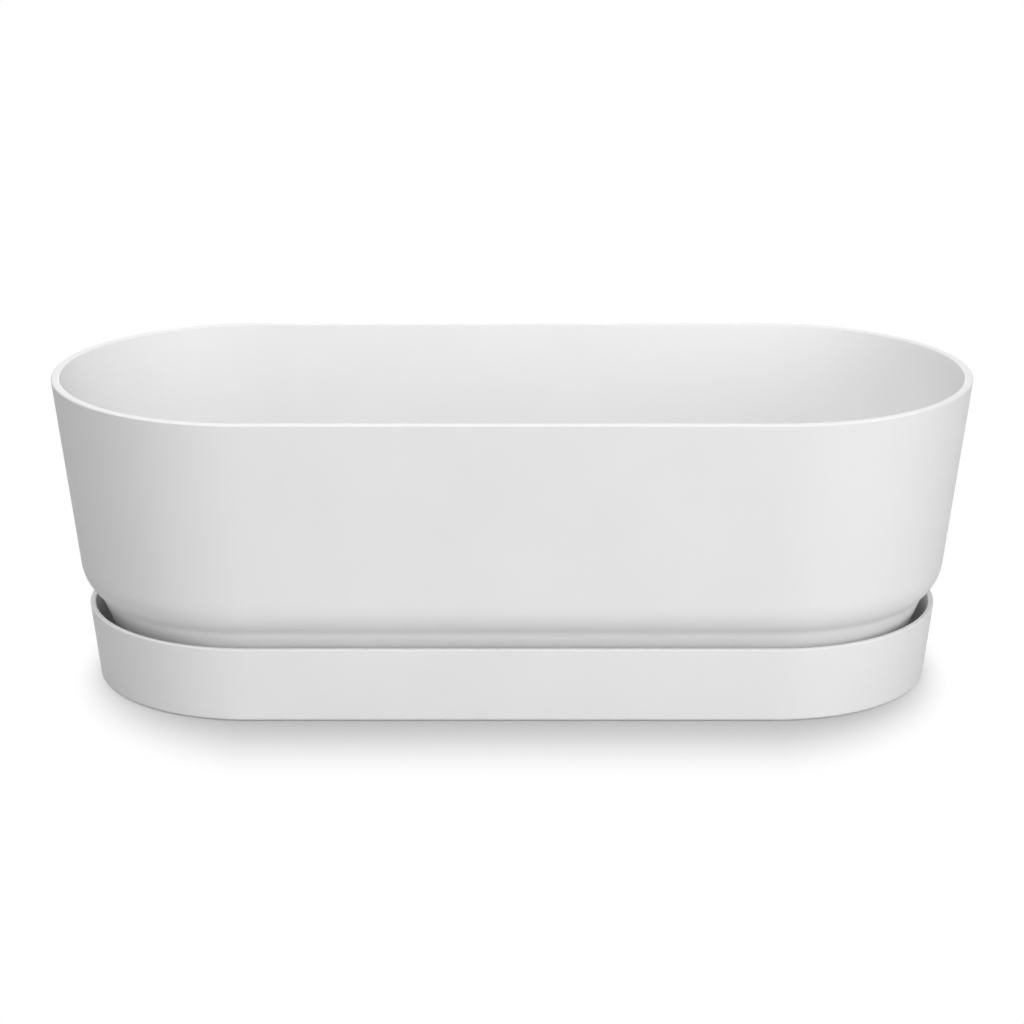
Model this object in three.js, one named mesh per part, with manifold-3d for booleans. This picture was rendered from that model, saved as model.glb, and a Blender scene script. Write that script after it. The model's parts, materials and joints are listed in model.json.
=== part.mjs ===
// Balcony planter: a long trough with round ends that stands loose in a deep saucer of the same plan.
// Millimetres, +Z up. The origin is the middle of the saucer's underside, on the surface that it
// stands on, and +X runs along the length.

import * as THREE from 'three';
import { mergeVertices } from 'three/addons/utils/BufferGeometryUtils.js';
import Module from 'manifold-3d';

// Plan that both mouldings share: two straight sides closed by half-round ends
const STRAIGHT_RUN = 283;       // straight part of each long side

// Trough, with heights taken from the foot that it stands on
const TROUGH_HEIGHT = 160;      // foot to the top of the rim
const RIM_RADIUS = 108.5;       // outside of the half-round ends at the rim
const RIM_THICKNESS = 4.5;      // flat top of the rim, from which the wall thins downwards
const RIM_EDGE = 0.8;           // rounding of the rim's two edges
const TROUGH_WALL = 3;          // wall from the shoulder down
const WALL_LEAN = 6.8;          // degrees from upright, the wall narrowing downwards
const SHOULDER_HEIGHT = 56;     // where the wall begins to turn in
const SHOULDER_RADIUS = 23.5;   // round outside of the shoulder
const SHOULDER_LEAN = 48;       // degrees, the steepest lean, under the shoulder
const FOOT_FILLET = 11;         // hollow curve from the shoulder into the foot
const FOOT_LEAN = 22;           // degrees, the foot narrowing downwards
const FOOT_EDGE = 3;            // rounding of the foot's outer bottom edge
const FOOT_RING_WIDTH = 4;      // flat ring that the trough stands on
const FOOT_RING_DEPTH = 4;      // how far the floor's underside is raised inside that ring
const TROUGH_FLOOR = 3;         // floor thickness
const INSIDE_FILLET = 6;        // curve between the inside of the foot and the floor

// Drain holes, in two rows along the trough's floor
const DRAIN_DIAMETER = 10;
const DRAIN_EDGE_DISTANCE = 28; // from each row to the edge of the flat floor

// Saucer, with heights taken from the surface that it stands on
const SAUCER_HEIGHT = 42;
const SAUCER_WALL = 3;
const SAUCER_LEAN = 6.4;        // degrees from upright, the wall narrowing downwards
const SAUCER_CORNER = 2;        // outside rounding between the wall and the underside
const SAUCER_FILLET = 4;        // inside rounding between the wall and the floor
const SAUCER_RIM_EDGE = 0.6;    // rounding of the rim's two edges
const SAUCER_FLOOR = 2.5;       // floor thickness
const BASE_RECESS = 1.2;        // how far the underside is raised inside the standing band
const STANDING_BAND = 12;       // width of the flat band that touches the surface

// Standing ribs across the saucer's floor, which hold the trough above the water
const RIB_COUNT = 5;
const RIB_HEIGHT = 6;
const RIB_ROOT_WIDTH = 4.4;
const RIB_TOP_WIDTH = 3;
const RIB_OVERLAP = 4;          // how far a rib reaches out past the trough's foot ring
const END_RIB_TURN = 40;        // degrees round the end at which the outermost ribs stand

// Clearances
const RIM_GAP = 5.5;            // between the saucer's rim and the side of the trough
const SEAT_GAP = 0.3;           // between the ribs and the trough's foot

// Facets
const END_STEPS = 24;           // in each half-round end
const CURVE_STEPS = 5;          // in each rounding of a profile
const EDGE_STEPS = 3;           // in each small edge rounding
const HOLE_STEPS = 20;          // round a drain hole
const CUT_MARGIN = 2;           // how far a cut runs past the faces that it opens

const PLASTIC_COLOUR = 0xeeeeee;
const PLASTIC_ROUGHNESS = 0.5;

const wasm = await Module();
wasm.setup();

const radians = THREE.MathUtils.degToRad;
const halfRun = STRAIGHT_RUN / 2;

// Solids for joining and cutting

function solidOf(geometry) {
  const bare = geometry.clone();
  bare.deleteAttribute('normal');
  bare.deleteAttribute('uv');
  const merged = mergeVertices(bare);
  return new wasm.Manifold(new wasm.Mesh({
    numProp: 3,
    vertProperties: new Float32Array(merged.attributes.position.array),
    triVerts: new Uint32Array(merged.index.array),
  }));
}

function geometryOf(solid) {
  const { vertProperties, triVerts } = solid.getMesh();
  const geometry = new THREE.BufferGeometry();
  geometry.setAttribute('position', new THREE.BufferAttribute(vertProperties, 3));
  geometry.setIndex(new THREE.BufferAttribute(triVerts, 1));
  geometry.computeVertexNormals();
  return geometry;
}

// Profiles: points whose x is the distance out from the mid line and whose y is the height

function point(x, y) {
  return new THREE.Vector2(x, y);
}

// Arc about a centre, from one angle in degrees to another, clockwise where the second is smaller
function arc(centre, radius, from, to, steps = CURVE_STEPS) {
  const curve = new THREE.ArcCurve(centre.x, centre.y, radius, radians(from), radians(to), to < from);
  return curve.getPoints(steps);
}

// Point at a distance from a centre, square out from a wall with that lean
function outFrom(centre, distance, lean) {
  return point(centre.x + distance * Math.cos(radians(lean)), centre.y - distance * Math.sin(radians(lean)));
}

// Centre of the rounding between a level face and a leaning wall that passes through a point
function cornerCentre(onWall, lean, level, radius) {
  const height = level + radius;
  const wallThere = onWall.x + (height - onWall.y) * Math.tan(radians(lean));
  return point(wallThere - radius / Math.cos(radians(lean)), height);
}

// Distance out at a height, on a profile that climbs
function distanceAt(climb, height) {
  const upper = climb.findIndex((each) => each.y >= height);
  const [below, above] = [climb[upper - 1], climb[upper]];
  const share = (height - below.y) / (above.y - below.y);
  return THREE.MathUtils.lerp(below.x, above.x, share);
}

// Turns a profile, from the mid line out and back to it, round the plan. The rings of a lathe are
// laid half round the right-hand end and half round the left-hand one, so that the straight
// sides lie between them.
function roundThePlan(profile) {
  const columns = 2 * (END_STEPS + 1);
  const geometry = new THREE.LatheGeometry(profile, columns);
  const position = geometry.attributes.position;
  for (let column = 0; column <= columns; column += 1) {
    const step = column % columns;
    const onRight = step <= END_STEPS;
    const turn = (step % (END_STEPS + 1)) / END_STEPS - 0.5;
    const angle = Math.PI * (onRight ? turn : turn + 1);
    const centre = onRight ? halfRun : -halfRun;
    profile.forEach((each, row) => {
      const x = centre + each.x * Math.cos(angle);
      const y = each.x * Math.sin(angle);
      position.setXYZ(column * profile.length + row, x, y, each.y);
    });
  }
  return geometry;
}

// Trough: the outside and the inside share the centres of their curves, a wall apart

const rimEdge = Math.min(RIM_EDGE, RIM_THICKNESS / 2);
const rimEdgeHeight = TROUGH_HEIGHT - rimEdge;
const rimOutsideEdge = point(RIM_RADIUS - rimEdge, rimEdgeHeight);
const rimInsideEdge = point(RIM_RADIUS - RIM_THICKNESS + rimEdge, rimEdgeHeight);
const shoulderDrop = rimEdgeHeight - SHOULDER_HEIGHT;
const shoulderStart = point(RIM_RADIUS - shoulderDrop * Math.tan(radians(WALL_LEAN)), SHOULDER_HEIGHT);
const shoulderCentre = outFrom(shoulderStart, -SHOULDER_RADIUS, WALL_LEAN);
const shoulderEnd = outFrom(shoulderCentre, SHOULDER_RADIUS, SHOULDER_LEAN);
const filletCentre = outFrom(shoulderEnd, FOOT_FILLET, SHOULDER_LEAN);
const footOutside = outFrom(filletCentre, -FOOT_FILLET, FOOT_LEAN);
const footInside = outFrom(footOutside, -TROUGH_WALL, FOOT_LEAN);
const footEdgeCentre = cornerCentre(footOutside, FOOT_LEAN, 0, FOOT_EDGE);
const troughFloorTop = FOOT_RING_DEPTH + TROUGH_FLOOR;
const insideFilletCentre = cornerCentre(footInside, FOOT_LEAN, troughFloorTop, INSIDE_FILLET);
const footRingInside = footEdgeCentre.x - FOOT_RING_WIDTH;
const drainRow = insideFilletCentre.x - DRAIN_EDGE_DISTANCE;

const troughOutside = [
  ...arc(footEdgeCentre, FOOT_EDGE, -90, -FOOT_LEAN),
  ...arc(filletCentre, FOOT_FILLET, 180 - FOOT_LEAN, 180 - SHOULDER_LEAN),
  ...arc(shoulderCentre, SHOULDER_RADIUS, -SHOULDER_LEAN, -WALL_LEAN).slice(1),
  ...arc(rimOutsideEdge, rimEdge, 0, 90, EDGE_STEPS),
  ...arc(rimInsideEdge, rimEdge, 90, 180, EDGE_STEPS),
];
const troughInside = [
  ...arc(shoulderCentre, SHOULDER_RADIUS - TROUGH_WALL, -WALL_LEAN, -SHOULDER_LEAN),
  ...arc(filletCentre, FOOT_FILLET + TROUGH_WALL, 180 - SHOULDER_LEAN, 180 - FOOT_LEAN).slice(1),
  ...arc(insideFilletCentre, INSIDE_FILLET, -FOOT_LEAN, -90),
];
const troughProfile = [
  point(0, FOOT_RING_DEPTH),
  point(footRingInside, FOOT_RING_DEPTH),
  point(footRingInside, 0),
  ...troughOutside,
  ...troughInside,
  point(0, troughFloorTop),
];

// Ribs: the outermost stand on the round ends, and the others are spread evenly between them
const ribReach = footEdgeCentre.x + RIB_OVERLAP;
const endRibX = halfRun + ribReach * Math.sin(radians(END_RIB_TURN));
const ribSpacing = (2 * endRibX) / (RIB_COUNT - 1);
const ribPlaces = Array.from({ length: RIB_COUNT }, (_, rib) => rib * ribSpacing - endRibX);

// Half the width of the plan at a place along the length
function halfWidthAt(x, radius) {
  const pastRun = Math.max(Math.abs(x) - halfRun, 0);
  return Math.sqrt(radius ** 2 - pastRun ** 2);
}

// Drain holes stand midway between the ribs, so that no rib closes one
function drainHole(x, y) {
  const hole = new THREE.CylinderGeometry(
    DRAIN_DIAMETER / 2,
    DRAIN_DIAMETER / 2,
    TROUGH_FLOOR + 2 * CUT_MARGIN,
    HOLE_STEPS,
  );
  hole.rotateX(Math.PI / 2);
  hole.translate(x, y, FOOT_RING_DEPTH + TROUGH_FLOOR / 2);
  return solidOf(hole);
}

function makeTrough() {
  let trough = solidOf(roundThePlan(troughProfile));
  for (const rib of ribPlaces.slice(1)) {
    const x = rib - ribSpacing / 2;
    for (const y of [-drainRow, drainRow]) {
      trough = trough.subtract(drainHole(x, y));
    }
  }
  return geometryOf(trough);
}

// Saucer: its rim keeps a gap to the side of the trough that stands in it

const saucerFloorTop = BASE_RECESS + SAUCER_FLOOR;
const seatHeight = saucerFloorTop + RIB_HEIGHT + SEAT_GAP;
const saucerRimInside = distanceAt(troughOutside, SAUCER_HEIGHT - seatHeight) + RIM_GAP;
const saucerRimOutside = saucerRimInside + SAUCER_WALL;
const outerCorner = cornerCentre(point(saucerRimOutside, SAUCER_HEIGHT), SAUCER_LEAN, 0, SAUCER_CORNER);
const innerCorner = cornerCentre(
  point(saucerRimInside, SAUCER_HEIGHT),
  SAUCER_LEAN,
  saucerFloorTop,
  SAUCER_FILLET,
);
const saucerEdge = Math.min(SAUCER_RIM_EDGE, SAUCER_WALL / 2);
const saucerEdgeHeight = SAUCER_HEIGHT - saucerEdge;
const standingBandInside = outerCorner.x - STANDING_BAND;

const saucerProfile = [
  point(0, BASE_RECESS),
  point(standingBandInside - BASE_RECESS, BASE_RECESS),
  point(standingBandInside, 0),
  ...arc(outerCorner, SAUCER_CORNER, -90, -SAUCER_LEAN, EDGE_STEPS),
  ...arc(point(saucerRimOutside - saucerEdge, saucerEdgeHeight), saucerEdge, 0, 90, EDGE_STEPS),
  ...arc(point(saucerRimInside + saucerEdge, saucerEdgeHeight), saucerEdge, 90, 180, EDGE_STEPS),
  ...arc(innerCorner, SAUCER_FILLET, -SAUCER_LEAN, -90),
  point(0, saucerFloorTop),
];

// A rib across the saucer, wider at its root, which is sunk into the floor
function standingRib(x) {
  const halfLength = halfWidthAt(x, ribReach);
  const section = new THREE.Shape([
    point(-RIB_ROOT_WIDTH / 2, -SAUCER_FLOOR / 2),
    point(RIB_ROOT_WIDTH / 2, -SAUCER_FLOOR / 2),
    point(RIB_ROOT_WIDTH / 2, 0),
    point(RIB_TOP_WIDTH / 2, RIB_HEIGHT),
    point(-RIB_TOP_WIDTH / 2, RIB_HEIGHT),
    point(-RIB_ROOT_WIDTH / 2, 0),
  ]);
  const rib = new THREE.ExtrudeGeometry(section, { depth: 2 * halfLength, bevelEnabled: false });
  rib.rotateX(Math.PI / 2);
  rib.translate(x, halfLength, saucerFloorTop);
  return solidOf(rib);
}

function makeSaucer() {
  let saucer = solidOf(roundThePlan(saucerProfile));
  for (const x of ribPlaces) {
    saucer = saucer.add(standingRib(x));
  }
  return geometryOf(saucer);
}

// Assembly

function moulding(name, geometry) {
  const material = new THREE.MeshStandardMaterial({
    color: PLASTIC_COLOUR,
    roughness: PLASTIC_ROUGHNESS,
    metalness: 0,
  });
  const mesh = new THREE.Mesh(geometry, material);
  mesh.name = name;
  return mesh;
}

const planter = new THREE.Group();
planter.add(moulding('saucer', makeSaucer()));

const standing = new THREE.Group();
standing.position.z = seatHeight;
standing.add(moulding('trough', makeTrough()));
planter.add(standing);

export default planter;
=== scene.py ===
"""A balcony planter in moulded white plastic: a long trough with round ends, loose in its deep saucer.

Each moulding starts as its section, drawn a point at a time in front of the right-hand round end. The section is
turned through a quarter of the plan, drawn out along the straight side to the middle, and mirrored to the whole.
Drain holes and gate marks are turned from sections of their own, and the flats round them are then filled.
Sizes are in millimetres, in the frame's own place, unless a name says otherwise.
"""

import json
import math

import bmesh
import bpy
from mathutils import Euler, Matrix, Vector

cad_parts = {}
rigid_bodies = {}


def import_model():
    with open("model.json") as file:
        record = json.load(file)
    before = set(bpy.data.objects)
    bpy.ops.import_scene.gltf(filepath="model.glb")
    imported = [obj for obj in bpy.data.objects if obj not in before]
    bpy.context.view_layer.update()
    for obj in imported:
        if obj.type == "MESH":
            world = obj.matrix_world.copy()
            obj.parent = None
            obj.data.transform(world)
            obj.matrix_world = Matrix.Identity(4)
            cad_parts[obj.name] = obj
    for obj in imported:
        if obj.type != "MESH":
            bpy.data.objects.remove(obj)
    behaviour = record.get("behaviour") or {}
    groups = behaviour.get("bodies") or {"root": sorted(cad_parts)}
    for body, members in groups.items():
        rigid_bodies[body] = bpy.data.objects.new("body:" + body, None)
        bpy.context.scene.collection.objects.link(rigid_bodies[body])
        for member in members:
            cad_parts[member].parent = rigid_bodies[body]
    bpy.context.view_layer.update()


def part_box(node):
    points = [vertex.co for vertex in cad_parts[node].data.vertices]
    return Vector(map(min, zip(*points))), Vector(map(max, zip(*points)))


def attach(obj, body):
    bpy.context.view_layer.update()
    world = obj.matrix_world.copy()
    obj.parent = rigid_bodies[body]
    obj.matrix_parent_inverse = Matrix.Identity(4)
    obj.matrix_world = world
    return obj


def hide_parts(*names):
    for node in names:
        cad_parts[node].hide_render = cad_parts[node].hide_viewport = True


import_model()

MM = 0.001

# Overall sizes, read from the frame
trough_low, trough_high = (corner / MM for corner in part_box("trough"))
saucer_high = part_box("saucer")[1] / MM
RIM_RADIUS = trough_high.y
HALF_RUN = trough_high.x - RIM_RADIUS
FOOT_LEVEL = trough_low.z
RIM_LEVEL = trough_high.z
SAUCER_RADIUS = saucer_high.y
SAUCER_LEVEL = saucer_high.z

# Trough
RIM_THICKNESS = 4.5
RIM_EDGE = 0.8
TROUGH_WALL = 3.0
WALL_LEAN = 6.8               # degrees from upright
SHOULDER_LEVEL = FOOT_LEVEL + 56.0
SHOULDER_RADIUS = 23.5
SHOULDER_LEAN = 48.0
FOOT_FILLET = 11.0
FOOT_LEAN = 22.0
FOOT_EDGE = 3.0
FOOT_RING_WIDTH = 4.0
FOOT_RING_DEPTH = 4.0
FOOT_RING_ROUND = 0.8
TROUGH_FLOOR = 3.0
INSIDE_FILLET = 6.0

# Drain holes
DRAIN_RADIUS = 5.0
DRAIN_EDGE_DISTANCE = 28.0
DRAIN_MOUTH_ROUND = 0.7

# Saucer
SAUCER_WALL = 3.0
SAUCER_LEAN = 6.4
SAUCER_CORNER = 2.0
SAUCER_FILLET = 4.0
SAUCER_RIM_EDGE = 0.6
SAUCER_FLOOR = 2.5
BASE_RECESS = 1.2
STANDING_BAND = 12.0

# Standing ribs on the saucer's floor
RIB_COUNT = 5
RIB_HEIGHT = 6.0
RIB_ROOT_WIDTH = 4.4
RIB_TOP_WIDTH = 3.0
RIB_TOP_ROUND = 0.9
RIB_OVERLAP = 4.0
END_RIB_TURN = 40.0           # degrees round the end
RIB_ROOT_SUNK = 1.2

# Gate marks, where the plastic was fed into each mould, in the middle of the undersides
GATE_DISH_RADIUS = 7.0
GATE_DISH_DEPTH = 0.6
GATE_NUB_RADIUS = 1.5
GATE_NUB_HEIGHT = 0.4

# Plastic
PIGMENT_DEEPEST = "#ededed"
PIGMENT_PALEST = "#efefef"
PIGMENT_CLOUD = 55.0          # size of the faint clouds in the pigment
SHEEN_PATCH = 18.0            # size of the patches that are a little more or less matt
SHEEN_ROUGHNESS = (0.56, 0.64)
GRAIN = 1.5                   # the mould's own grain, about 0.2, is too fine to show and is drawn coarser
GRAIN_DEPTH = 0.02
SWELL = 70.0                  # size of the slow swells that cooling leaves in a long wall
SWELL_DEPTH = 0.03
NOISE_DETAIL = 2
NOISE_LOW, NOISE_HIGH = 0.3, 0.7   # the part of a noise's range that most of it lies in
REFRACTIVE_INDEX = 1.49       # polypropylene
SPECULAR_LEVEL = 0.25         # half the usual, because the fine grain scatters the reflections

# Mesh fineness
END_STEPS = 48                # in a quarter of the plan
ARC_STEP = 6.0                # degrees between points on a rounding
HOLD = 1.0                    # from a rounding to the point that keeps the flat beside it flat
HELD_FROM = 4.0               # a longer straight is held at both ends
ROUND_STEPS = 64              # round a drain hole or a gate mark
RIB_ROUND_STEPS = 4           # in the rounding of a rib's top
SAME_PLACE = 0.001            # closer points are one point
SMOOTH_ANGLE = 38.0

# Camera, from the photograph's outlines
CAMERA_BACK = 1684.1          # in front of the planter's middle
CAMERA_HEIGHT = 618.3
CAMERA_PITCH = 17.43          # degrees below level
PHOTO_WIDTH = 1024
FOCAL_PIXELS = 3200.0
SENSOR_WIDTH = 36.0

# Floor and light
# grey paper: the eye sees it only near the planter, where it is a painted shade round the planter with the real
# shadow on it; it also bounces light onto the planter
PAPER = "#bcbcbc"
FILL_STRENGTH = 0.25          # even light from all round, under the lamps
FLOOR_SIZE = 60000.0
FLOOR_DROP = 0.05             # below the saucer's standing band
PAINTED_SHADE_FADES_FROM = -25.0      # out from the saucer's rim, where the grey paper, a painted shade with the real shadow on it, starts to give way to white
PAINTED_SHADE_FADES_BY = 80.0         # out from the rim along the sides, where it has given way
END_PAINTED_SHADE_FADES_BY = 10.0     # the same at the tips of the round ends


def arc(centre, radius, start, end):
    """Points of an arc, with its angles in degrees."""
    steps = max(2, math.ceil(abs(end - start) / ARC_STEP))
    angles = [math.radians(start + (end - start) * step / steps) for step in range(steps + 1)]
    return [centre + radius * Vector((math.cos(angle), math.sin(angle))) for angle in angles]


def out_from(centre, distance, lean):
    """The point at a distance from a centre, square out from a wall with that lean."""
    return centre + distance * Vector((math.cos(math.radians(lean)), -math.sin(math.radians(lean))))


def corner_centre(on_wall, lean, level, radius):
    """Centre of the rounding between a level face and a leaning wall through a point."""
    height = level + radius
    wall_there = on_wall.x + (height - on_wall.y) * math.tan(math.radians(lean))
    return Vector((wall_there - radius / math.cos(math.radians(lean)), height))


def held(*stretches):
    """Joins points and arcs into one section, holding the straights between them flat at both ends."""
    section = list(stretches[0])
    for stretch in stretches[1:]:
        run = stretch[0] - section[-1]
        if run.length > HELD_FROM:
            step = run.normalized() * HOLD
            section += [section[-1] + step, stretch[0] - step]
        section += stretch
    return section


def select_where(piece, test):
    """Selects the points whose place passes a test, with the edges and faces between them."""
    bpy.ops.mesh.select_mode(type="VERT")
    bpy.ops.mesh.select_all(action="DESELECT")
    shape = bmesh.from_edit_mesh(piece.data)
    for vertex in shape.verts:
        vertex.select_set(test(vertex.co / MM))
    shape.select_flush(True)
    bmesh.update_edit_mesh(piece.data)


def merge_doubles():
    """Makes points of the piece in edit mode that lie in the same place one point."""
    bpy.ops.mesh.select_all(action="SELECT")
    bpy.ops.mesh.remove_doubles(threshold=SAME_PLACE * MM)


def apply_modifier(piece, kind, **settings):
    """Gives a piece a modifier and works it into the mesh."""
    bpy.ops.object.select_all(action="DESELECT")
    bpy.context.view_layer.objects.active = piece
    piece.select_set(True)
    modifier = piece.modifiers.new(kind.title(), kind)
    for name, value in settings.items():
        setattr(modifier, name, value)
    bpy.ops.object.modifier_apply(modifier=modifier.name)


def face_outwards():
    """Turns all faces of the piece in edit mode outwards."""
    bpy.ops.mesh.select_all(action="SELECT")
    bpy.ops.mesh.normals_make_consistent(inside=False)


def draw_line(places):
    """Draws a line from place to place, in edit mode, out of the small square that has just been added."""
    bpy.ops.mesh.merge(type="CENTER")
    bpy.ops.transform.translate(value=places[0])
    for here, there in zip(places, places[1:]):
        bpy.ops.mesh.extrude_vertices_move(TRANSFORM_OT_translate={"value": there - here})
    bpy.ops.mesh.select_linked()


def turned_moulding(name, section):
    """Draws a section at the front of the right-hand end and takes it round the whole plan."""
    bpy.ops.object.select_all(action="DESELECT")
    bpy.ops.mesh.primitive_plane_add(size=MM)
    piece = bpy.context.object
    piece.name = name
    bpy.ops.object.mode_set(mode="EDIT")
    draw_line([Vector((HALF_RUN, -point.x, point.y)) * MM for point in section])
    bpy.ops.mesh.spin(
        steps=END_STEPS,
        angle=math.radians(-90),
        center=(HALF_RUN * MM, 0, 0),
        axis=(0, 0, 1),
    )
    merge_doubles()
    select_where(piece, lambda place: abs(place.x - HALF_RUN) < SAME_PLACE)
    for run in (HOLD, HALF_RUN - HOLD):
        bpy.ops.mesh.extrude_edges_move(TRANSFORM_OT_translate={"value": (-run * MM, 0, 0)})
    bpy.ops.object.mode_set(mode="OBJECT")
    apply_modifier(piece, "MIRROR", use_axis=(True, True, False), merge_threshold=SAME_PLACE * MM)
    bpy.ops.object.mode_set(mode="EDIT")
    merge_doubles()
    face_outwards()
    bpy.ops.object.mode_set(mode="OBJECT")
    return piece


def join(piece, other):
    """Makes a piece and another that runs into it one solid."""
    apply_modifier(piece, "BOOLEAN", object=other, operation="UNION", solver="EXACT")
    bpy.data.objects.remove(other)


def turn_in(x, y, section):
    """Turns a section all the way round an upright line, in the piece that is in edit mode."""
    bpy.ops.mesh.primitive_plane_add(size=MM)
    draw_line([Vector((x + point.x, y, point.y)) * MM for point in section])
    bpy.ops.mesh.spin(steps=ROUND_STEPS, angle=math.tau, center=(x * MM, y * MM, 0), axis=(0, 0, 1))


def fill_flat(piece, level):
    """Fills the open flat at a level, out to its edge and round the openings in it."""
    select_where(piece, lambda place: abs(place.z - level) < SAME_PLACE)
    bpy.ops.mesh.fill(use_beauty=True)


def gate_section(level):
    """The dish in an underside at a level, and the nub of the broken-off feed in its middle."""
    dish_level = level + GATE_DISH_DEPTH
    nub_level = dish_level - GATE_NUB_HEIGHT
    return [
        Vector((GATE_DISH_RADIUS, level)),
        Vector((GATE_DISH_RADIUS, dish_level)),
        Vector((GATE_NUB_RADIUS, dish_level)),
        Vector((GATE_NUB_RADIUS, nub_level)),
        Vector((0, nub_level)),
    ]


def smooth(piece):
    """Shades the roundings smooth. Larger faces count for more, so the flats beside small roundings stay flat."""
    bpy.ops.object.select_all(action="DESELECT")
    bpy.context.view_layer.objects.active = piece
    piece.select_set(True)
    bpy.ops.object.shade_smooth_by_angle(angle=math.radians(SMOOTH_ANGLE))
    apply_modifier(piece, "WEIGHTED_NORMAL", keep_sharp=True)


# Trough section: the outside and the inside share the centres of their curves, a wall apart
rim_edge_level = RIM_LEVEL - RIM_EDGE
rim_outside_edge = Vector((RIM_RADIUS - RIM_EDGE, rim_edge_level))
rim_inside_edge = Vector((RIM_RADIUS - RIM_THICKNESS + RIM_EDGE, rim_edge_level))
shoulder_inset = (rim_edge_level - SHOULDER_LEVEL) * math.tan(math.radians(WALL_LEAN))
shoulder_start = Vector((RIM_RADIUS - shoulder_inset, SHOULDER_LEVEL))
shoulder_centre = out_from(shoulder_start, -SHOULDER_RADIUS, WALL_LEAN)
shoulder_end = out_from(shoulder_centre, SHOULDER_RADIUS, SHOULDER_LEAN)
fillet_centre = out_from(shoulder_end, FOOT_FILLET, SHOULDER_LEAN)
foot_outside = out_from(fillet_centre, -FOOT_FILLET, FOOT_LEAN)
foot_inside = out_from(foot_outside, -TROUGH_WALL, FOOT_LEAN)
foot_edge_centre = corner_centre(foot_outside, FOOT_LEAN, FOOT_LEVEL, FOOT_EDGE)
underside_level = FOOT_LEVEL + FOOT_RING_DEPTH
trough_floor_level = underside_level + TROUGH_FLOOR
inside_fillet_centre = corner_centre(foot_inside, FOOT_LEAN, trough_floor_level, INSIDE_FILLET)
foot_ring_inside = foot_edge_centre.x - FOOT_RING_WIDTH

# Places of the ribs, and of the drain holes midway between them
rib_reach = foot_edge_centre.x + RIB_OVERLAP
end_rib_place = HALF_RUN + rib_reach * math.sin(math.radians(END_RIB_TURN))
rib_spacing = 2 * end_rib_place / (RIB_COUNT - 1)
rib_places = [rib * rib_spacing - end_rib_place for rib in range(RIB_COUNT)]
drain_row = inside_fillet_centre.x - DRAIN_EDGE_DISTANCE
drain_places = [(x + rib_spacing / 2, y) for x in rib_places[:-1] for y in (-drain_row, drain_row)]


def trough_section():
    """From the edge of the open underside to the edge of the open floor."""
    ring_root = Vector((foot_ring_inside - FOOT_RING_ROUND, underside_level - FOOT_RING_ROUND))
    ring_edge = Vector((foot_ring_inside + FOOT_RING_ROUND, FOOT_LEVEL + FOOT_RING_ROUND))
    return held(
        arc(ring_root, FOOT_RING_ROUND, 90, 0),
        arc(ring_edge, FOOT_RING_ROUND, 180, 270),
        arc(foot_edge_centre, FOOT_EDGE, -90, -FOOT_LEAN),
        arc(fillet_centre, FOOT_FILLET, 180 - FOOT_LEAN, 180 - SHOULDER_LEAN),
        arc(shoulder_centre, SHOULDER_RADIUS, -SHOULDER_LEAN, -WALL_LEAN)[1:],
        arc(rim_outside_edge, RIM_EDGE, 0, 90),
        arc(rim_inside_edge, RIM_EDGE, 90, 180),
        arc(shoulder_centre, SHOULDER_RADIUS - TROUGH_WALL, -WALL_LEAN, -SHOULDER_LEAN),
        arc(fillet_centre, FOOT_FILLET + TROUGH_WALL, 180 - SHOULDER_LEAN, 180 - FOOT_LEAN)[1:],
        arc(inside_fillet_centre, INSIDE_FILLET, -FOOT_LEAN, -90),
    )


def drain_section():
    """A drain hole from the floor to the underside, with both mouths rounded."""
    mouth = DRAIN_RADIUS + DRAIN_MOUTH_ROUND
    return held(
        arc(Vector((mouth, trough_floor_level - DRAIN_MOUTH_ROUND)), DRAIN_MOUTH_ROUND, 90, 180),
        arc(Vector((mouth, underside_level + DRAIN_MOUTH_ROUND)), DRAIN_MOUTH_ROUND, 180, 270),
    )


def make_trough():
    trough = turned_moulding("trough_moulding", trough_section())
    bpy.ops.object.mode_set(mode="EDIT")
    for x, y in drain_places:
        turn_in(x, y, drain_section())
    turn_in(0, 0, gate_section(underside_level))
    merge_doubles()
    fill_flat(trough, underside_level)
    fill_flat(trough, trough_floor_level)
    face_outwards()
    bpy.ops.object.mode_set(mode="OBJECT")
    smooth(trough)
    return trough


# Saucer section
saucer_floor_level = BASE_RECESS + SAUCER_FLOOR
saucer_inside = SAUCER_RADIUS - SAUCER_WALL
saucer_edge_level = SAUCER_LEVEL - SAUCER_RIM_EDGE
outer_corner = corner_centre(Vector((SAUCER_RADIUS, SAUCER_LEVEL)), SAUCER_LEAN, 0, SAUCER_CORNER)
inner_corner = corner_centre(
    Vector((saucer_inside, SAUCER_LEVEL)), SAUCER_LEAN, saucer_floor_level, SAUCER_FILLET
)
band_inside = outer_corner.x - STANDING_BAND


def saucer_section():
    """From the edge of the open underside to the middle of the floor."""
    return held(
        [Vector((band_inside - BASE_RECESS, BASE_RECESS))],
        [Vector((band_inside, 0))],
        arc(outer_corner, SAUCER_CORNER, -90, -SAUCER_LEAN),
        arc(Vector((SAUCER_RADIUS - SAUCER_RIM_EDGE, saucer_edge_level)), SAUCER_RIM_EDGE, 0, 90),
        arc(Vector((saucer_inside + SAUCER_RIM_EDGE, saucer_edge_level)), SAUCER_RIM_EDGE, 90, 180),
        arc(inner_corner, SAUCER_FILLET, -SAUCER_LEAN, -90),
        [Vector((0, saucer_floor_level))],
    )


def half_width_at(x, radius):
    """Half the plan's width at a place along its length."""
    past_run = max(abs(x) - HALF_RUN, 0)
    return math.sqrt(radius**2 - past_run**2)


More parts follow.
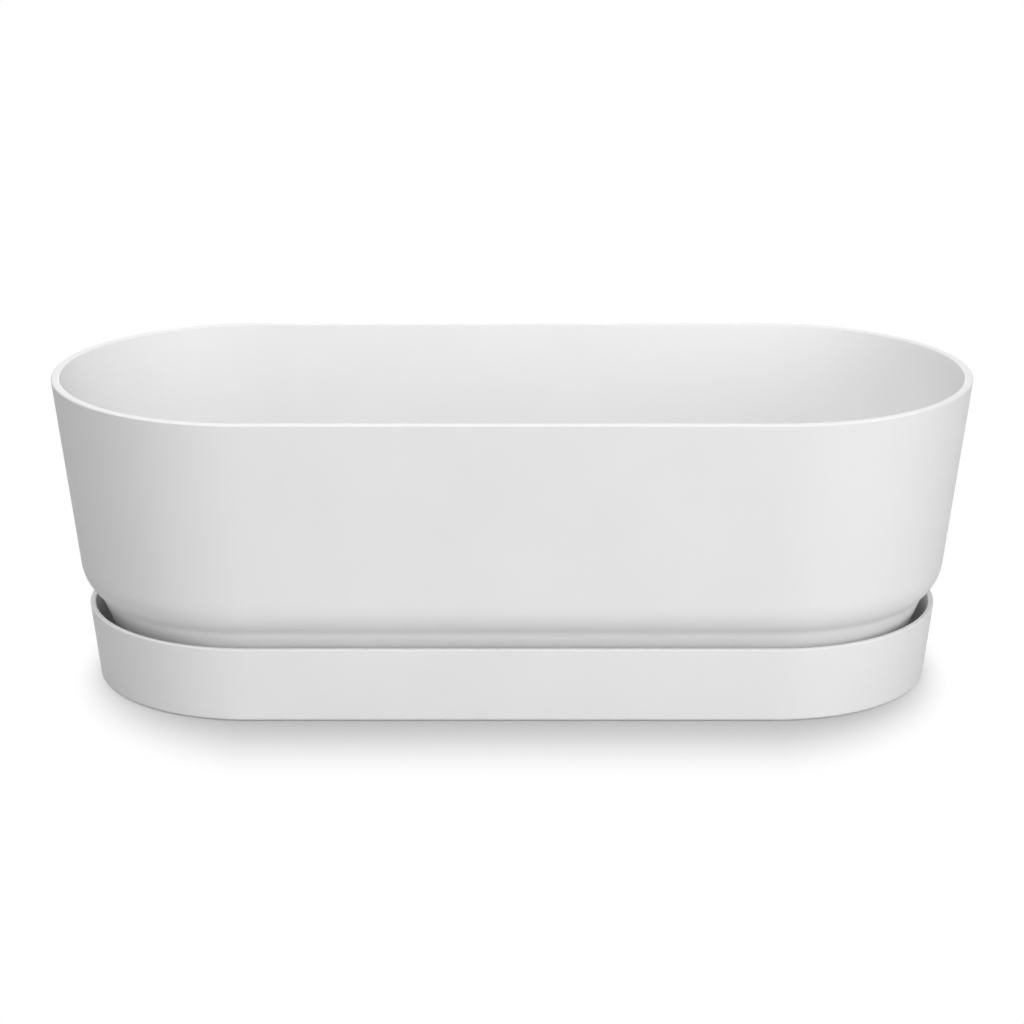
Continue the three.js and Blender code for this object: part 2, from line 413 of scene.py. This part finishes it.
def standing_rib(x):
    """A bar across the saucer's floor, narrower towards its top, with its top edges rounded."""
    length = 2 * half_width_at(x, rib_reach)
    height = RIB_HEIGHT + RIB_ROOT_SUNK
    bpy.ops.object.select_all(action="DESELECT")
    bpy.ops.mesh.primitive_cube_add(size=1)
    rib = bpy.context.object
    bpy.ops.object.mode_set(mode="EDIT")
    bpy.ops.transform.resize(value=(RIB_ROOT_WIDTH * MM, length * MM, height * MM))
    level = saucer_floor_level + (RIB_HEIGHT - RIB_ROOT_SUNK) / 2
    bpy.ops.transform.translate(value=Vector((x, 0, level)) * MM)
    top = saucer_floor_level + RIB_HEIGHT
    select_where(rib, lambda place: place.z > top - SAME_PLACE)
    bpy.ops.transform.resize(value=(RIB_TOP_WIDTH / RIB_ROOT_WIDTH, 1, 1))
    bpy.ops.mesh.bevel(offset=RIB_TOP_ROUND * MM, segments=RIB_ROUND_STEPS, affect="EDGES")
    bpy.ops.object.mode_set(mode="OBJECT")
    return rib


def make_saucer():
    saucer = turned_moulding("saucer_moulding", saucer_section())
    bpy.ops.object.mode_set(mode="EDIT")
    turn_in(0, 0, gate_section(BASE_RECESS))
    merge_doubles()
    fill_flat(saucer, BASE_RECESS)
    face_outwards()
    bpy.ops.object.mode_set(mode="OBJECT")
    for x in rib_places:
        join(saucer, standing_rib(x))
    smooth(saucer)
    return saucer


def linear(hex_colour):
    """An sRGB hex colour as linear red, green, blue and alpha."""
    shares = [int(hex_colour[index:index + 2], 16) / 255 for index in (1, 3, 5)]
    return [share / 12.92 if share <= 0.04045 else ((share + 0.055) / 1.055) ** 2.4 for share in shares] + [1]


def per_metre(millimetres):
    """The texture scale that gives a pattern this size."""
    return 1 / (millimetres * MM)


def add(tree, kind, inputs=None, **settings):
    """Adds a node with its settings, and sets or links its inputs."""
    made = tree.nodes.new(kind)
    for name, value in settings.items():
        setattr(made, name, value)
    for name, value in (inputs or {}).items():
        if isinstance(value, bpy.types.NodeSocket):
            tree.links.new(value, made.inputs[name])
        else:
            made.inputs[name].default_value = value
    return made


def new_material(name):
    material = bpy.data.materials.new(name)
    material.use_nodes = True
    material.node_tree.nodes.clear()
    return material, material.node_tree


def moulded_polypropylene():
    """White polypropylene from a spark-eroded mould: an even satin white, soft highlights and a faint grain."""
    material, tree = new_material("white_moulded_polypropylene")
    place = add(tree, "ShaderNodeTexCoord").outputs["Object"]
    noises = [
        add(tree, "ShaderNodeTexNoise", {"Vector": place, "Scale": per_metre(size), "Detail": NOISE_DETAIL})
        for size in (PIGMENT_CLOUD, SHEEN_PATCH, GRAIN, SWELL)
    ]
    clouds, patches, grain, swells = (noise.outputs["Fac"] for noise in noises)
    pigment = add(tree, "ShaderNodeValToRGB", {"Fac": clouds})
    deepest, palest = pigment.color_ramp.elements
    deepest.position, deepest.color = NOISE_LOW, linear(PIGMENT_DEEPEST)
    palest.position, palest.color = NOISE_HIGH, linear(PIGMENT_PALEST)
    sheen = add(
        tree,
        "ShaderNodeMapRange",
        {
            "Value": patches,
            "From Min": NOISE_LOW,
            "From Max": NOISE_HIGH,
            "To Min": SHEEN_ROUGHNESS[0],
            "To Max": SHEEN_ROUGHNESS[1],
        },
    )
    fine = add(tree, "ShaderNodeBump", {"Height": grain, "Distance": GRAIN_DEPTH * MM})
    slow = add(
        tree,
        "ShaderNodeBump",
        {"Height": swells, "Distance": SWELL_DEPTH * MM, "Normal": fine.outputs["Normal"]},
    )
    surface = add(
        tree,
        "ShaderNodeBsdfPrincipled",
        {
            "Base Color": pigment.outputs["Color"],
            "Roughness": sheen.outputs["Result"],
            "IOR": REFRACTIVE_INDEX,
            "Specular IOR Level": SPECULAR_LEVEL,
            "Normal": slow.outputs["Normal"],
        },
    )
    add(tree, "ShaderNodeOutputMaterial", {"Surface": surface.outputs["BSDF"]})
    return material


def looked_at(tree):
    """One for the eye and for what a reflection or a clear part shows the eye, and nothing for the light itself."""
    light = add(tree, "ShaderNodeLightPath")
    straight_or_mirrored = add(
        tree,
        "ShaderNodeMath",
        {0: light.outputs["Is Camera Ray"], 1: light.outputs["Is Glossy Ray"]},
        operation="MAXIMUM",
    )
    any_way = add(
        tree,
        "ShaderNodeMath",
        {0: straight_or_mirrored.outputs["Value"], 1: light.outputs["Is Transmission Ray"]},
        operation="MAXIMUM",
    )
    return any_way.outputs["Value"]


def studio_floor():
    """Matt pale grey paper with the planter's real shadow, shown grey to the eye only near the planter as a painted
    shade, and plain white to the eye away from the planter.
    """
    material, tree = new_material("studio_paper_with_painted_shade")
    place = add(tree, "ShaderNodeTexCoord").outputs["Object"]
    either_side = add(tree, "ShaderNodeVectorMath", {0: place}, operation="ABSOLUTE")
    run = (HALF_RUN * MM, 0, 0)
    past_run = add(tree, "ShaderNodeVectorMath", {0: either_side.outputs["Vector"], 1: run}, operation="SUBTRACT")
    outward = add(tree, "ShaderNodeVectorMath", {0: past_run.outputs["Vector"]}, operation="MAXIMUM")
    distance = add(tree, "ShaderNodeVectorMath", {0: outward.outputs["Vector"]}, operation="LENGTH")
    direction = add(tree, "ShaderNodeVectorMath", {0: outward.outputs["Vector"]}, operation="NORMALIZE")
    towards_end = add(tree, "ShaderNodeSeparateXYZ", {"Vector": direction.outputs["Vector"]})
    white_from = add(
        tree,
        "ShaderNodeMapRange",
        {
            "Value": towards_end.outputs["X"],
            "To Min": (SAUCER_RADIUS + PAINTED_SHADE_FADES_BY) * MM,
            "To Max": (SAUCER_RADIUS + END_PAINTED_SHADE_FADES_BY) * MM,
        },
    )
    # painted shade: to the eye the paper stays grey near the saucer and turns white farther out, more slowly along
    # the sides than at the ends, whatever the lamps do
    painted_shade_fade = add(
        tree,
        "ShaderNodeMapRange",
        {
            "Value": distance.outputs["Value"],
            "From Min": (SAUCER_RADIUS + PAINTED_SHADE_FADES_FROM) * MM,
            "From Max": white_from.outputs["Result"],
        },
        interpolation_type="SMOOTHSTEP",
    )
    share = add(tree, "ShaderNodeMath", {0: looked_at(tree), 1: painted_shade_fade.outputs["Result"]}, operation="MULTIPLY")
    paper = add(tree, "ShaderNodeBsdfDiffuse", {"Color": linear(PAPER)})
    white = add(tree, "ShaderNodeEmission", {"Color": (1, 1, 1, 1), "Strength": 1})
    mixed = add(
        tree,
        "ShaderNodeMixShader",
        {0: share.outputs["Value"], 1: paper.outputs["BSDF"], 2: white.outputs["Emission"]},
    )
    add(tree, "ShaderNodeOutputMaterial", {"Surface": mixed.outputs["Shader"]})
    return material


def softbox(name, turn, height_angle, distance, size, watts):
    """A square soft light that faces the planter, turned from the front towards the right and raised from level."""
    lamp = bpy.data.lights.new(name, "AREA")
    lamp.shape = "SQUARE"
    lamp.size = size * MM
    lamp.energy = watts
    holder = bpy.data.objects.new(name, lamp)
    bpy.context.scene.collection.objects.link(holder)
    facing = Euler((math.radians(90 - height_angle), 0, math.radians(turn)))
    holder.rotation_euler = facing
    middle = Vector((0, 0, RIM_LEVEL / 2))
    away = facing.to_matrix() @ Vector((0, 0, distance))
    holder.location = (middle + away) * MM


def light_studio():
    """Soft lamps as in the photograph, a lamp behind for the other views, and an even fill from all round."""
    softbox("front_light", turn=0, height_angle=30, distance=2800, size=1000, watts=15)
    softbox("low_front_light", turn=0, height_angle=12, distance=2800, size=900, watts=4.8)
    softbox("high_front_light", turn=0, height_angle=60, distance=2600, size=1000, watts=9)
    softbox("high_left_light", turn=-85, height_angle=70, distance=2600, size=1200, watts=22.7)
    softbox("right_front_light", turn=45, height_angle=15, distance=2800, size=1400, watts=29.1)
    softbox("back_light", turn=180, height_angle=12, distance=2800, size=900, watts=22)
    world = bpy.context.scene.world or bpy.data.worlds.new("studio")
    bpy.context.scene.world = world
    world.use_nodes = True
    tree = world.node_tree
    tree.nodes.clear()
    fill = add(tree, "ShaderNodeBackground", {"Color": (1, 1, 1, 1), "Strength": FILL_STRENGTH})
    white = add(tree, "ShaderNodeBackground", {"Color": (1, 1, 1, 1), "Strength": 1})
    mixed = add(
        tree,
        "ShaderNodeMixShader",
        {0: looked_at(tree), 1: fill.outputs["Background"], 2: white.outputs["Background"]},
    )
    add(tree, "ShaderNodeOutputWorld", {"Surface": mixed.outputs["Shader"]})


def place_camera():
    """Puts the camera where the photograph was taken from."""
    lens = bpy.data.cameras.new("photo_camera")
    lens.sensor_width = SENSOR_WIDTH
    lens.lens = SENSOR_WIDTH * FOCAL_PIXELS / PHOTO_WIDTH
    camera = bpy.data.objects.new("photo_camera", lens)
    bpy.context.scene.collection.objects.link(camera)
    camera.location = Vector((0, -CAMERA_BACK, CAMERA_HEIGHT)) * MM
    camera.rotation_euler = (math.radians(90 - CAMERA_PITCH), 0, 0)
    bpy.context.scene.camera = camera


def lay_floor():
    """Lays the studio paper just under the saucer."""
    bpy.ops.object.select_all(action="DESELECT")
    bpy.ops.mesh.primitive_plane_add(size=FLOOR_SIZE * MM)
    floor = bpy.context.object
    floor.name = "floor"
    bpy.ops.object.mode_set(mode="EDIT")
    bpy.ops.transform.translate(value=(0, 0, -FLOOR_DROP * MM))
    bpy.ops.object.mode_set(mode="OBJECT")
    floor.data.materials.append(studio_floor())


place_camera()
plastic = moulded_polypropylene()

trough = make_trough()
trough.data.materials.append(plastic)
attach(trough, "trough")
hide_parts("trough")

saucer = make_saucer()
saucer.data.materials.append(plastic)
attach(saucer, "saucer")
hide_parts("saucer")

lay_floor()
light_studio()
bpy.context.scene.view_settings.view_transform = "Standard"
